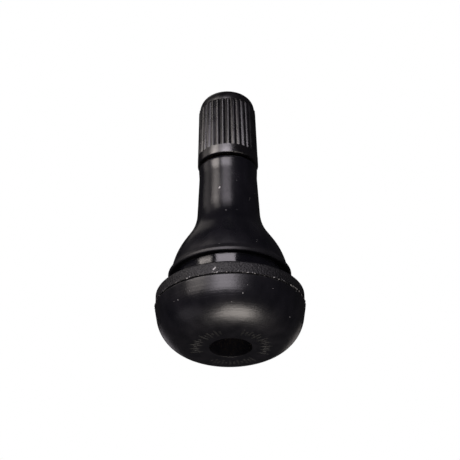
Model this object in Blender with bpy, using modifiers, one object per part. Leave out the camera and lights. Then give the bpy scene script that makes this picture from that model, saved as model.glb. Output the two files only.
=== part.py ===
"""Snap-in tyre valve for a 16 mm rim hole, with its valve core and its ribbed dust cap.

+Z runs along the valve, from the base that lies inside the tyre up to the cap. The origin is the
centre of the base. The valve is pulled outwards through the rim until the edge of the rim hole
lies in the groove, between the flange and the skirt.
"""

import math

import bmesh
import bpy
from mathutils import Matrix, Vector

MM = 0.001

# Clearances between the pieces
BOND_GAP = 0.06 * MM  # between pieces that are moulded on or pressed together
RUN_GAP = 0.1 * MM  # between pieces that turn or slide in each other

# Rubber body, from the base upwards
RIM_HOLE_RADIUS = 8.0 * MM
GROOVE_SQUEEZE = 0.5 * MM  # the groove is larger than the rim hole, so the rubber is squeezed
GROOVE_RADIUS = RIM_HOLE_RADIUS + GROOVE_SQUEEZE
GROOVE_WIDTH = 3.06 * MM
GROOVE_FILLET = 0.25 * MM
FLANGE_TOP = 9.2 * MM
FLANGE_WIDTH = 3.3 * MM
FLANGE_RADIUS = GROOVE_RADIUS + FLANGE_WIDTH
FLANGE_EDGE = 0.3 * MM
FLASH_WIDTH = 0.2 * MM  # the mould's parting line stands out this far from the flange
FLASH_HEIGHT = 0.1 * MM
SEAM_HEIGHT = 7.08 * MM
BULB_INSET = 0.07 * MM  # the bulb starts this far inside the parting line
BULB_DRAFT = math.radians(8.3)
BULB_FILLET = 5.88 * MM
BASE_HOLE_RADIUS = 3.37 * MM
BASE_HOLE_TAPER = 0.2 * MM
BASE_HOLE_EDGE = 0.25 * MM
BASE_HOLE_DEPTH = 6.45 * MM

SKIRT_WIDTH = 1.34 * MM  # the skirt's lip stands out this far from the groove
SKIRT_BEAD = 0.62 * MM
SKIRT_BEAD_FILLET = 0.24 * MM
SKIRT_HOLLOW = 0.52 * MM  # the hollow above the bead is this far inside the lip
SKIRT_HOLLOW_RISE = 1.2 * MM
SKIRT_HOLLOW_FILLET = 1.6 * MM
SHOULDER_INSET = 1.18 * MM
SHOULDER_RISE = 3.94 * MM
SHOULDER_FILLET = 13.0 * MM
SKIRT_HEIGHT = 9.24 * MM
NECK_FILLET = 8.8 * MM
NECK_SPREAD = 0.49 * MM  # the neck is this much wider where it leaves the skirt
NECK_LENGTH = 11.25 * MM
COLLAR_HEIGHT = 2.1 * MM
COLLAR_SPREAD = 0.1 * MM
COLLAR_FILLET = 0.7 * MM
NECK_WALL = 1.61 * MM

GROOVE_TOP = FLANGE_TOP + GROOVE_WIDTH
SKIRT_RADIUS = GROOVE_RADIUS + SKIRT_WIDTH
NECK_ROOT = GROOVE_TOP + SKIRT_HEIGHT
RUBBER_TOP = NECK_ROOT + NECK_LENGTH

# Valve core, whose places are worked out down from the tip of the stem
PIN_RADIUS = 0.4 * MM
PIN_HEAD_RADIUS = 0.8 * MM
PIN_HEAD_HEIGHT = 0.4 * MM
PIN_SETBACK = 0.2 * MM
PIN_TRAVEL = 1.4 * MM
PIN_COLLAR_WIDTH = 0.45 * MM
PIN_COLLAR_HEIGHT = 0.35 * MM
PIN_FOOT_HEIGHT = 0.35 * MM
SPRING_WIRE_RADIUS = 0.12 * MM
SPRING_RADIUS = 0.95 * MM
SPRING_TURNS = 5.5
SPRING_CLEARANCE = 0.15 * MM
CORE_THREAD_RADIUS = 2.65 * MM
CORE_THREAD_FIT = 0.07 * MM
BRIDGE_WIDTH = 1.5 * MM
BRIDGE_RISE = 1.6 * MM
BRIDGE_THICKNESS = 0.9 * MM
BRIDGE_INSET = 0.45 * MM
PLUG_LENGTH = 3.2 * MM
PLUG_LIP_HEIGHT = 0.6 * MM
PLUG_CHAMFER = 0.22 * MM
MILLING_DEPTH = 0.15 * MM
BARREL_HEAD_WIDTH = 0.5 * MM
BARREL_HEAD_HEIGHT = 0.5 * MM
BARREL_NECK_WALL = 0.35 * MM
BARREL_NECK_CLEARANCE = 0.2 * MM  # air passes here too, between the pin and the neck
BARREL_LENGTH = 4.7 * MM
BARREL_WALL = 0.25 * MM
BARREL_ROOF = 0.4 * MM
BARREL_FLOOR = 0.5 * MM
BARREL_HOLE_CLEARANCE = 0.35 * MM  # air passes here, between the pin and the barrel's floor
BARREL_FLANGE_WIDTH = 0.45 * MM
BARREL_FLANGE_HEIGHT = 0.9 * MM
SEAL_HEIGHT = 1.6 * MM
SEAL_LIP_WIDTH = 0.2 * MM
SEAL_LIP_HEIGHT = 0.3 * MM
CUP_WALL = 0.22 * MM
CUP_FLOOR = 0.25 * MM
CUP_RADIUS = 1.6 * MM
CUP_SEAL_HEIGHT = 0.8 * MM
CUP_SEAL_STANDOUT = 0.3 * MM
CUP_CLEARANCE = 0.25 * MM

# Brass stem
EXPOSED_THREAD_LENGTH = 9.75 * MM
TIP_WALL = 1.2 * MM
TIP_CHAMFER = 0.4 * MM
MOUTH_CHAMFER = 0.3 * MM
BORE_RADIUS = CUP_RADIUS + CUP_CLEARANCE
SEAT_STEP = 0.4 * MM
SEAT_MARGIN = 0.2 * MM
CHAMBER_HEIGHT = 0.4 * MM
TUBE_WALL = 1.2 * MM
THREAD_START = 0.55 * MM  # the thread starts this far above the rubber
MOULD_STOP_WIDTH = 0.55 * MM
MOULD_STOP_HEIGHT = 1.4 * MM
FOOT_WIDTH = 1.15 * MM
FOOT_HEIGHT = 1.5 * MM
FOOT_SLOPE = 0.57 * MM
FOOT_CHAMFER = 0.35 * MM
ANCHOR_RING_WIDTH = 0.65 * MM
ANCHOR_RING_HEIGHT = 0.7 * MM
ANCHOR_RING_RISE = 3.9 * MM
STEM_THREAD_RADIUS = CORE_THREAD_RADIUS + TIP_WALL
TUBE_RADIUS = BORE_RADIUS + TUBE_WALL
STEM_TIP = RUBBER_TOP + EXPOSED_THREAD_LENGTH
STEM_FOOT = BASE_HOLE_DEPTH + BOND_GAP

# Dust cap and its washer
CAP_THREAD_CLEARANCE = 0.12 * MM
CAP_STANDOFF = 0.25 * MM  # between the cap's rim and the rubber
CAP_WALL = 0.71 * MM
CAP_DRAFT = math.radians(1.54)
CAP_RIM_CHAMFER = 0.12 * MM
CAP_LEAD_IN = 0.35 * MM
CAP_DOME_HEIGHT = 3.52 * MM
CAP_DOME_POWER = 2.08
CAP_CEILING_TO_TOP = 2.8 * MM
CAP_ROOF = 1.3 * MM
CAP_RECESS_RADIUS = 2.7 * MM
CAP_RECESS_FILLET = 0.8 * MM
RIB_COUNT = 32
RIB_DEPTH = 0.3 * MM
RIB_GROOVE_WIDTH = 0.33 * MM
RIB_RUN_OUT = 0.6 * MM
BAND_HEIGHT = 1.6 * MM
RIB_OVERRUN = 0.55 * MM  # the grooves run this far up into the dome
WASHER_THICKNESS = 1.1 * MM
WASHER_HOLE_RADIUS = 1.4 * MM
CAP_BORE_RADIUS = STEM_THREAD_RADIUS + CAP_THREAD_CLEARANCE
CAP_RADIUS = CAP_BORE_RADIUS + CAP_WALL + RIB_DEPTH
CAP_RIM = RUBBER_TOP + CAP_STANDOFF
WASHER_BOTTOM = STEM_TIP + RUN_GAP
CAP_CEILING = WASHER_BOTTOM + WASHER_THICKNESS + BOND_GAP
CAP_TOP = CAP_CEILING + CAP_CEILING_TO_TOP
CAP_DOME_BASE = CAP_TOP - CAP_DOME_HEIGHT

# Heights in the core
PIN_TOP = STEM_TIP - PIN_SETBACK
BRIDGE_TOP = PIN_TOP - PIN_HEAD_HEIGHT - PIN_TRAVEL - RUN_GAP
PLUG_TOP = BRIDGE_TOP - BRIDGE_RISE
PLUG_BOTTOM = PLUG_TOP - PLUG_LENGTH
BARREL_TOP = PLUG_BOTTOM - RUN_GAP
BARREL_BOTTOM = BARREL_TOP - BARREL_LENGTH
SPRING_ROOM_TOP = BARREL_TOP - BARREL_ROOF
SPRING_ROOM_BOTTOM = BARREL_BOTTOM + BARREL_FLOOR
PIN_COLLAR_TOP = SPRING_ROOM_TOP - RUN_GAP
PIN_COLLAR_BOTTOM = PIN_COLLAR_TOP - PIN_COLLAR_HEIGHT
SEAL_TOP = BARREL_TOP - BARREL_FLANGE_HEIGHT
SEAL_BOTTOM = SEAL_TOP - SEAL_HEIGHT
CUP_SEAL_TOP = BARREL_BOTTOM - BOND_GAP
CUP_SEAL_BOTTOM = CUP_SEAL_TOP - CUP_SEAL_HEIGHT
CUP_FLOOR_TOP = CUP_SEAL_BOTTOM - BOND_GAP
CUP_BOTTOM = CUP_FLOOR_TOP - CUP_FLOOR
CUP_TOP = CUP_SEAL_TOP - CUP_SEAL_STANDOUT
PIN_FOOT_TOP = CUP_BOTTOM - BOND_GAP
PIN_BOTTOM = PIN_FOOT_TOP - PIN_FOOT_HEIGHT

# Radii in the core
PIN_HOLE_RADIUS = PIN_RADIUS + RUN_GAP
BARREL_NECK_BORE = PIN_RADIUS + BARREL_NECK_CLEARANCE
BARREL_NECK_RADIUS = BARREL_NECK_BORE + BARREL_NECK_WALL
PLUG_LIP_RADIUS = BARREL_NECK_RADIUS + RUN_GAP
BARREL_HEAD_RADIUS = BARREL_NECK_RADIUS + BARREL_HEAD_WIDTH
PLUG_BORE_RADIUS = BARREL_HEAD_RADIUS + RUN_GAP
PLUG_THREAD_RADIUS = CORE_THREAD_RADIUS - CORE_THREAD_FIT
PIN_COLLAR_RADIUS = PIN_RADIUS + PIN_COLLAR_WIDTH
SPRING_ROOM_RADIUS = SPRING_RADIUS + SPRING_WIRE_RADIUS + SPRING_CLEARANCE
BARREL_RADIUS = SPRING_ROOM_RADIUS + BARREL_WALL
SEAT_RADIUS = BORE_RADIUS + SEAT_STEP

# Facets
BODY_SEGMENTS = 48
CAP_SEGMENTS = RIB_COUNT  # one flat facet for each rib
CORE_SEGMENTS = 24
PIN_SEGMENTS = 12
SPRING_POINTS_PER_TURN = 12
ARC_ERROR = 0.02 * MM  # how far a flat facet may lie inside a rounded outline
SHARP_ANGLE = math.radians(32)
MERGE_DISTANCE = 1e-6


def clear_scene():
    for obj in list(bpy.data.objects):
        bpy.data.objects.remove(obj, do_unlink=True)


def new_collection(name):
    collection = bpy.data.collections.new(name)
    bpy.context.scene.collection.children.link(collection)
    return collection


def principled(name, colour, roughness, metallic=0.0):
    material = bpy.data.materials.new(name)
    material.use_nodes = True
    shader = material.node_tree.nodes["Principled BSDF"]
    shader.inputs["Base Color"].default_value = (*colour, 1.0)
    shader.inputs["Roughness"].default_value = roughness
    shader.inputs["Metallic"].default_value = metallic
    material.diffuse_color = (*colour, 1.0)
    return material


def arc_steps(radius, angle):
    """The number of straight steps that an arc needs."""
    return max(2, math.ceil(abs(angle) / (2 * math.acos(1 - ARC_ERROR / radius))))


def fillet(before, corner, after, radius):
    """Points of the arc that rounds a corner between two straight sides."""
    to_before = (before - corner).normalized()
    to_after = (after - corner).normalized()
    half = to_before.angle(to_after) / 2
    centre = corner + (to_before + to_after).normalized() * radius / math.sin(half)
    reach = radius / math.tan(half)
    start = corner + to_before * reach - centre
    turn = start.angle_signed(corner + to_after * reach - centre)
    steps = arc_steps(radius, turn)
    return [centre + Matrix.Rotation(-turn * i / steps, 2) @ start for i in range(steps + 1)]


def rounded(corners):
    """The outline through corners given as (radius, height) or (radius, height, fillet)."""
    points = []
    last = len(corners) - 1
    for i, corner in enumerate(corners):
        here = Vector(corner[:2])
        if len(corner) == 2 or i in (0, last):
            points.append(here)
        else:
            before, after = Vector(corners[i - 1][:2]), Vector(corners[i + 1][:2])
            points += fillet(before, here, after, corner[2])
    return points


def offset(points, distance):
    """An open outline moved sideways by distance, to the left of the way it runs."""
    sides = []
    for start, end in zip(points, points[1:]):
        along = (end - start).normalized()
        shift = Vector((-along.y, along.x)) * distance
        sides.append((start + shift, end + shift, along))
    moved = [sides[0][0]]
    for (start, _, along), (next_start, _, next_along) in zip(sides, sides[1:]):
        reach = (next_start - start).cross(next_along) / along.cross(next_along)
        moved.append(start + along * reach)
    return moved + [sides[-1][1]]


def settle(obj):
    """Replaces an object's mesh by what its modifiers make of it, shaded smooth but for its edges."""
    bpy.context.view_layer.update()
    evaluated = obj.evaluated_get(bpy.context.evaluated_depsgraph_get())
    mesh = bpy.data.meshes.new_from_object(evaluated)
    obj.modifiers.clear()
    obj.data = mesh
    mesh.shade_smooth()
    mesh.set_sharp_from_angle(angle=SHARP_ANGLE)


def turned(name, outline, segments, collection, material, on_axis=False):
    """A solid turned about Z. The outline runs down the outside and, unless it is on the axis, closes."""
    count = len(outline)
    edges = [(i, i + 1) for i in range(count - 1)]
    if not on_axis:
        edges.append((count - 1, 0))
    mesh = bpy.data.meshes.new(name)
    mesh.from_pydata([(radius, 0, height) for radius, height in outline], edges, [])
    obj = bpy.data.objects.new(name, mesh)
    collection.objects.link(obj)
    screw = obj.modifiers.new("Turn", "SCREW")
    screw.axis = "Z"
    screw.steps = screw.render_steps = segments
    screw.use_merge_vertices = True
    screw.merge_threshold = MERGE_DISTANCE
    settle(obj)
    obj.data.materials.append(material)
    return obj


def cutter_object(name, mesh_builder, collection):
    mesh = bpy.data.meshes.new(name)
    mesh_builder.to_mesh(mesh)
    mesh_builder.free()
    obj = bpy.data.objects.new(name, mesh)
    obj.hide_render = True
    obj.display_type = "WIRE"
    collection.objects.link(obj)
    return obj


def cut(obj, cutter):
    boolean = obj.modifiers.new("Cut " + cutter.name, "BOOLEAN")
    boolean.operation = "DIFFERENCE"
    boolean.object = cutter
    settle(obj)


def cube_between(builder, low, high):
    """Adds a box to the mesh builder and returns its vertices."""
    low, high = Vector(low), Vector(high)
    place = Matrix.LocRotScale((low + high) / 2, None, high - low)
    return bmesh.ops.create_cube(builder, size=1, matrix=place)["verts"]


def joint_axis(name, height, collection):
    """An empty on the valve's axis. What moves with the joint is parented to it."""
    empty = bpy.data.objects.new(name, None)
    empty.empty_display_size = 2 * MM
    empty.location.z = height
    collection.objects.link(empty)
    return empty


def carry(obj, empty):
    obj.parent = empty
    obj.matrix_parent_inverse = Matrix.Translation(-empty.location)


def stem_sheath():
    """The stem's outside where the rubber covers it, from the mould stop down to the bore's end."""
    stop = TUBE_RADIUS + MOULD_STOP_WIDTH
    ring = TUBE_RADIUS + ANCHOR_RING_WIDTH
    ring_bottom = STEM_FOOT + ANCHOR_RING_RISE
    ring_top = ring_bottom + ANCHOR_RING_HEIGHT
    foot = TUBE_RADIUS + FOOT_WIDTH
    foot_top = STEM_FOOT + FOOT_HEIGHT
    return [
        Vector((stop, RUBBER_TOP)),
        Vector((stop, RUBBER_TOP - MOULD_STOP_HEIGHT)),
        Vector((TUBE_RADIUS, RUBBER_TOP - MOULD_STOP_HEIGHT - MOULD_STOP_WIDTH)),
        Vector((TUBE_RADIUS, ring_top + ANCHOR_RING_WIDTH)),
        Vector((ring, ring_top)),
        Vector((ring, ring_bottom)),
        Vector((TUBE_RADIUS, ring_bottom - ANCHOR_RING_WIDTH)),
        Vector((TUBE_RADIUS, foot_top + FOOT_SLOPE)),
        Vector((foot, foot_top)),
        Vector((foot, STEM_FOOT + FOOT_CHAMFER)),
        Vector((foot - FOOT_CHAMFER, STEM_FOOT)),
        Vector((BORE_RADIUS + FOOT_CHAMFER, STEM_FOOT)),
    ]


def rubber_outside():
    """The rubber's outside from the top of the collar down to the edge of the base hole."""
    neck = TUBE_RADIUS + BOND_GAP + NECK_WALL
    bulb_top = FLANGE_RADIUS + FLASH_WIDTH - BULB_INSET
    seam_top = SEAM_HEIGHT + FLASH_HEIGHT / 2
    seam_bottom = SEAM_HEIGHT - FLASH_HEIGHT / 2
    return rounded(
        [
            (TUBE_RADIUS + MOULD_STOP_WIDTH + BOND_GAP, RUBBER_TOP),
            (neck + COLLAR_SPREAD, RUBBER_TOP, COLLAR_FILLET),
            (neck, RUBBER_TOP - COLLAR_HEIGHT),
            (neck + NECK_SPREAD, NECK_ROOT, NECK_FILLET),
            (SKIRT_RADIUS - SHOULDER_INSET, GROOVE_TOP + SHOULDER_RISE, SHOULDER_FILLET),
            (SKIRT_RADIUS - SKIRT_HOLLOW, GROOVE_TOP + SKIRT_HOLLOW_RISE, SKIRT_HOLLOW_FILLET),
            (SKIRT_RADIUS, GROOVE_TOP + SKIRT_BEAD, SKIRT_BEAD_FILLET),
            (SKIRT_RADIUS, GROOVE_TOP, SKIRT_BEAD_FILLET),
            (GROOVE_RADIUS, GROOVE_TOP, GROOVE_FILLET),
            (GROOVE_RADIUS, FLANGE_TOP, GROOVE_FILLET),
            (FLANGE_RADIUS, FLANGE_TOP, FLANGE_EDGE),
            (FLANGE_RADIUS, seam_top + FLASH_WIDTH / 2),
            (FLANGE_RADIUS + FLASH_WIDTH, seam_top),
            (FLANGE_RADIUS + FLASH_WIDTH, seam_bottom),
            (bulb_top, seam_bottom - BULB_INSET),
            (bulb_top - math.tan(BULB_DRAFT) * SEAM_HEIGHT, 0, BULB_FILLET),
            (BASE_HOLE_RADIUS, 0, BASE_HOLE_EDGE),
            (BASE_HOLE_RADIUS - BASE_HOLE_TAPER, BASE_HOLE_DEPTH),
        ]
    )


def make_rubber_body(collection):
    """The moulded body, whose inside is the stem's outside with a gap for the bond."""
    cavity = offset(stem_sheath(), BOND_GAP)
    inside = list(reversed(cavity[1:-1]))
    rubber = principled("Black rubber", (0.012, 0.012, 0.014), 0.42)
    return turned("rubber_body", rubber_outside() + inside, BODY_SEGMENTS, collection, rubber)


def stem_bore():
    """The stem's bore from its lower end up to the mouth."""
    seat_bottom = SEAL_BOTTOM + SEAT_MARGIN
    seat_top = SEAL_TOP - SEAT_MARGIN
    chamber_top = seat_top + CHAMBER_HEIGHT
    return [
        Vector((BORE_RADIUS, STEM_FOOT + FOOT_CHAMFER)),
        Vector((BORE_RADIUS, seat_bottom)),
        Vector((SEAT_RADIUS, seat_top)),
        Vector((SEAT_RADIUS, chamber_top)),
        Vector((CORE_THREAD_RADIUS, chamber_top + CORE_THREAD_RADIUS - SEAT_RADIUS)),
        Vector((CORE_THREAD_RADIUS, STEM_TIP - MOUTH_CHAMFER)),
        Vector((CORE_THREAD_RADIUS + MOUTH_CHAMFER, STEM_TIP)),
    ]


def make_brass_stem(collection):
    """The stem has plain cylinders at the threads' outer sizes."""
    stop = TUBE_RADIUS + MOULD_STOP_WIDTH
    thread_bottom = RUBBER_TOP + THREAD_START
    top = [
        Vector((STEM_THREAD_RADIUS - TIP_CHAMFER, STEM_TIP)),
        Vector((STEM_THREAD_RADIUS, STEM_TIP - TIP_CHAMFER)),
        Vector((STEM_THREAD_RADIUS, thread_bottom)),
        Vector((stop, thread_bottom - (STEM_THREAD_RADIUS - stop))),
    ]
    brass = principled("Stem brass", (0.78, 0.57, 0.25), 0.3, metallic=1.0)
    outline = top + stem_sheath()[1:] + stem_bore()
    return turned("brass_stem", outline, BODY_SEGMENTS, collection, brass)


def make_core_plug(collection, cutters):
    """The threaded ring that holds the core down, with the bridge that the core key turns."""
    bridge_end = PLUG_THREAD_RADIUS - BRIDGE_INSET
    outline = [
        (PIN_HOLE_RADIUS, BRIDGE_TOP),
        (bridge_end, BRIDGE_TOP),
        (bridge_end, PLUG_TOP),
        (PLUG_THREAD_RADIUS - PLUG_CHAMFER, PLUG_TOP),
        (PLUG_THREAD_RADIUS, PLUG_TOP - PLUG_CHAMFER),
        (PLUG_THREAD_RADIUS, PLUG_BOTTOM + PLUG_CHAMFER),
        (PLUG_THREAD_RADIUS - PLUG_CHAMFER, PLUG_BOTTOM),
        (PLUG_LIP_RADIUS, PLUG_BOTTOM),
        (PLUG_LIP_RADIUS, PLUG_BOTTOM + PLUG_LIP_HEIGHT),
        (PLUG_BORE_RADIUS, PLUG_BOTTOM + PLUG_LIP_HEIGHT),
        (PLUG_BORE_RADIUS, BRIDGE_TOP - BRIDGE_THICKNESS),
        (PIN_HOLE_RADIUS, BRIDGE_TOP - BRIDGE_THICKNESS),
    ]
    brass = principled("Plug brass", (0.74, 0.55, 0.27), 0.35, metallic=1.0)
    plug = turned("core_plug", outline, CORE_SEGMENTS, collection, brass)
    cut(plug, bridge_cutter(cutters))
    return plug


def bridge_cutter(cutters):
    """Two blocks that mill the plug away on both sides of its bridge."""
    builder = bmesh.new()
    reach = 2 * PLUG_THREAD_RADIUS
    low, high = PLUG_TOP - MILLING_DEPTH, BRIDGE_TOP + BRIDGE_RISE
    for side in (-1, 1):
        near, far = sorted((side * BRIDGE_WIDTH / 2, side * reach))
        cube_between(builder, (-reach, near, low), (reach, far, high))
    return cutter_object("bridge_sides", builder, cutters)


def make_core_barrel(collection):
    """The barrel that hangs from the plug by its neck, so the plug turns while the seal stays still."""
    head_bottom = PLUG_BOTTOM + PLUG_LIP_HEIGHT + RUN_GAP
    lip_bottom = SEAL_BOTTOM - SEAL_LIP_HEIGHT
    hole = PIN_RADIUS + BARREL_HOLE_CLEARANCE
    outline = [
        (BARREL_NECK_BORE, head_bottom + BARREL_HEAD_HEIGHT),
        (BARREL_HEAD_RADIUS, head_bottom + BARREL_HEAD_HEIGHT),
        (BARREL_HEAD_RADIUS, head_bottom),
        (BARREL_NECK_RADIUS, head_bottom),
        (BARREL_NECK_RADIUS, BARREL_TOP),
        (BARREL_RADIUS + BARREL_FLANGE_WIDTH, BARREL_TOP),
        (BARREL_RADIUS + BARREL_FLANGE_WIDTH, SEAL_TOP),
        (BARREL_RADIUS, SEAL_TOP),
        (BARREL_RADIUS, SEAL_BOTTOM),
        (BARREL_RADIUS + SEAL_LIP_WIDTH, SEAL_BOTTOM),
        (BARREL_RADIUS + SEAL_LIP_WIDTH, lip_bottom),
        (BARREL_RADIUS, lip_bottom - SEAL_LIP_WIDTH),
        (BARREL_RADIUS, BARREL_BOTTOM),
        (hole, BARREL_BOTTOM),
        (hole, SPRING_ROOM_BOTTOM),
        (SPRING_ROOM_RADIUS, SPRING_ROOM_BOTTOM),
        (SPRING_ROOM_RADIUS, SPRING_ROOM_TOP),
        (BARREL_NECK_BORE, SPRING_ROOM_TOP),
    ]
    brass = principled("Barrel brass", (0.72, 0.53, 0.26), 0.35, metallic=1.0)
    return turned("core_barrel", outline, CORE_SEGMENTS, collection, brass)


def make_barrel_seal(collection):
    """The tapered ring that closes the barrel against the seat in the stem."""
    inner = BARREL_RADIUS + BOND_GAP
    outer, foot = SEAT_RADIUS - BOND_GAP, BORE_RADIUS - BOND_GAP
    outline = [
        (inner, SEAL_TOP - BOND_GAP),
        (outer, SEAL_TOP - BOND_GAP),
        (outer, SEAL_TOP - SEAT_MARGIN),
        (foot, SEAL_BOTTOM + SEAT_MARGIN),
        (foot, SEAL_BOTTOM + BOND_GAP),
        (inner, SEAL_BOTTOM + BOND_GAP),
    ]
    white = principled("Seal white", (0.8, 0.8, 0.77), 0.5)
    return turned("barrel_seal", outline, CORE_SEGMENTS, collection, white)


def make_core_pin(collection):
    """The pin, with its head, the collar that the spring lifts and the foot that holds the cup."""
    foot_radius = PIN_HEAD_RADIUS
    outline = [
        (0, PIN_TOP),
        (PIN_HEAD_RADIUS, PIN_TOP),
        (PIN_HEAD_RADIUS, PIN_TOP - PIN_HEAD_HEIGHT),
        (PIN_RADIUS, PIN_TOP - PIN_HEAD_HEIGHT),
        (PIN_RADIUS, PIN_COLLAR_TOP),
        (PIN_COLLAR_RADIUS, PIN_COLLAR_TOP),
        (PIN_COLLAR_RADIUS, PIN_COLLAR_BOTTOM),
        (PIN_RADIUS, PIN_COLLAR_BOTTOM),
        (PIN_RADIUS, PIN_FOOT_TOP),
        (foot_radius, PIN_FOOT_TOP),
        (foot_radius, PIN_BOTTOM),
        (0, PIN_BOTTOM),
    ]
    brass = principled("Pin brass", (0.8, 0.62, 0.3), 0.25, metallic=1.0)
    return turned("core_pin", outline, PIN_SEGMENTS, collection, brass, on_axis=True)


def make_plunger_cup(collection):
    """The cup on the pin's foot. It holds the rubber ring that closes the barrel."""
    hole = PIN_RADIUS + BOND_GAP
    outline = [
        (CUP_RADIUS - CUP_WALL, CUP_TOP),
        (CUP_RADIUS, CUP_TOP),
        (CUP_RADIUS, CUP_BOTTOM + CUP_WALL),
        (CUP_RADIUS - CUP_WALL, CUP_BOTTOM),
        (hole, CUP_BOTTOM),
        (hole, CUP_FLOOR_TOP),
        (CUP_RADIUS - CUP_WALL, CUP_FLOOR_TOP),
    ]
    brass = principled("Cup brass", (0.72, 0.53, 0.26), 0.35, metallic=1.0)
    return turned("plunger_cup", outline, CORE_SEGMENTS, collection, brass)


def ring(name, inner, outer, bottom, top, collection, material):
    outline = [(inner, top), (outer, top), (outer, bottom), (inner, bottom)]
    return turned(name, outline, CORE_SEGMENTS, collection, material)


def make_cup_seal(collection):
    rubber = principled("Seal rubber", (0.02, 0.02, 0.02), 0.6)
    inner, outer = PIN_RADIUS + BOND_GAP, CUP_RADIUS - CUP_WALL - BOND_GAP
    return ring("cup_seal", inner, outer, CUP_SEAL_BOTTOM, CUP_SEAL_TOP, collection, rubber)


def spring_points():
    """The wire's centre line. Its end turns lie close on each other, and the rest is open."""
    turns = SPRING_TURNS
    bottom = SPRING_ROOM_BOTTOM + BOND_GAP + SPRING_WIRE_RADIUS
    top = PIN_COLLAR_BOTTOM - BOND_GAP - SPRING_WIRE_RADIUS
    closed_rise = 2 * SPRING_WIRE_RADIUS + BOND_GAP / 2
    open_rise = (top - bottom - 2 * closed_rise) / (turns - 2)
    points = []
    for i in range(round(turns * SPRING_POINTS_PER_TURN) + 1):
        turn = i / SPRING_POINTS_PER_TURN
        start_turn, open_turn = min(turn, 1), min(max(turn - 1, 0), turns - 2)
        end_turn = max(turn - (turns - 1), 0)
        height = bottom + (start_turn + end_turn) * closed_rise + open_turn * open_rise
        angle = 2 * math.pi * turn
        points.append((SPRING_RADIUS * math.cos(angle), SPRING_RADIUS * math.sin(angle), height))
    return points


def make_core_spring(collection):
    """A compression spring round the pin, from the barrel's floor up to the pin's collar."""
    curve = bpy.data.curves.new("core_spring", "CURVE")
    curve.dimensions = "3D"
    curve.bevel_depth = SPRING_WIRE_RADIUS
    curve.bevel_resolution = 2
    curve.use_fill_caps = True
    points = spring_points()
    spline = curve.splines.new("POLY")
    spline.points.add(len(points) - 1)
    for point, place in zip(spline.points, points):
        point.co = (*place, 1)
    curve.materials.append(principled("Spring steel", (0.5, 0.5, 0.52), 0.3, metallic=1.0))
    obj = bpy.data.objects.new("core_spring", curve)
    collection.objects.link(obj)
    return obj


def cap_radius_at(height):
    """The radius of the cap's ribs, which grows smaller upwards so that the cap leaves its mould."""
    return CAP_RADIUS - math.tan(CAP_DRAFT) * (height - CAP_RIM)


def cap_dome():
    """The dome from its top down to where the straight wall starts."""
    radius = cap_radius_at(CAP_DOME_BASE)
    steps = arc_steps(radius, math.pi / 2)
    points = []
    for i in range(steps):
        angle = math.pi / 2 * i / steps
        out = math.sin(angle) ** (2 / CAP_DOME_POWER)
        up = math.cos(angle) ** (2 / CAP_DOME_POWER)
        points.append(Vector((radius * out, CAP_DOME_BASE + CAP_DOME_HEIGHT * up)))
    return points + [Vector((radius, CAP_DOME_BASE))]


def make_valve_cap(collection, cutters):
    """The dust cap: a dome on a ribbed wall, with a plain band above the rim."""
    outside = cap_dome() + [
        Vector((CAP_RADIUS, CAP_RIM + CAP_RIM_CHAMFER)),
        Vector((CAP_RADIUS - CAP_RIM_CHAMFER, CAP_RIM)),
    ]
    recess_top = CAP_TOP - CAP_ROOF
    inside = rounded(
        [
            (CAP_BORE_RADIUS + CAP_LEAD_IN, CAP_RIM),
            (CAP_BORE_RADIUS, CAP_RIM + CAP_LEAD_IN),
            (CAP_BORE_RADIUS, CAP_CEILING),
            (CAP_RECESS_RADIUS, CAP_CEILING),
            (CAP_RECESS_RADIUS, recess_top, CAP_RECESS_FILLET),
            (0, recess_top),
        ]
    )
    plastic = principled("Black plastic", (0.014, 0.014, 0.017), 0.35)
    cap = turned("valve_cap", outside + inside, CAP_SEGMENTS, collection, plastic, on_axis=True)
    cut(cap, rib_cutter(cutters))
    return cap


def rib_cutter(cutters):
    """A ring of blocks that cut the grooves between the ribs, each one over an edge of two facets."""
    builder = bmesh.new()
    low, high = CAP_RIM + BAND_HEIGHT, CAP_DOME_BASE + RIB_OVERRUN
    half = RIB_GROOVE_WIDTH / 2
    outer = CAP_RADIUS + RIB_DEPTH
    for i in range(RIB_COUNT):
        root = cap_radius_at(low) - RIB_DEPTH
        verts = cube_between(builder, (root, -half, low), (outer, half, high))
        for vert in verts:
            if vert.co.x < (root + outer) / 2 and vert.co.z > (low + high) / 2:
                vert.co.x = cap_radius_at(high) - RIB_DEPTH
        slope_groove_end(builder, verts, (low + high) / 2)
        angle = 2 * math.pi * i / RIB_COUNT
        turn = Matrix.Rotation(angle, 3, "Z")
        bmesh.ops.rotate(builder, cent=(0, 0, 0), matrix=turn, verts=verts)
    return cutter_object("rib_grooves", builder, cutters)


def slope_groove_end(builder, verts, middle):
    """Leans the top of a groove outwards, so that the rib's end runs out instead of stopping square."""
    for vert in verts:
        if vert.co.z > middle and vert.co.x > CAP_RADIUS:
            vert.co.z += RIB_RUN_OUT
    bmesh.ops.recalc_face_normals(builder, faces=builder.faces)


def make_cap_washer(collection):
    """The washer in the cap, which closes on the tip of the stem."""
    rubber = principled("Washer rubber", (0.03, 0.03, 0.03), 0.6)
    outer = CAP_BORE_RADIUS - RUN_GAP
    top = WASHER_BOTTOM + WASHER_THICKNESS
    return ring("cap_washer", WASHER_HOLE_RADIUS, outer, WASHER_BOTTOM, top, collection, rubber)


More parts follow.
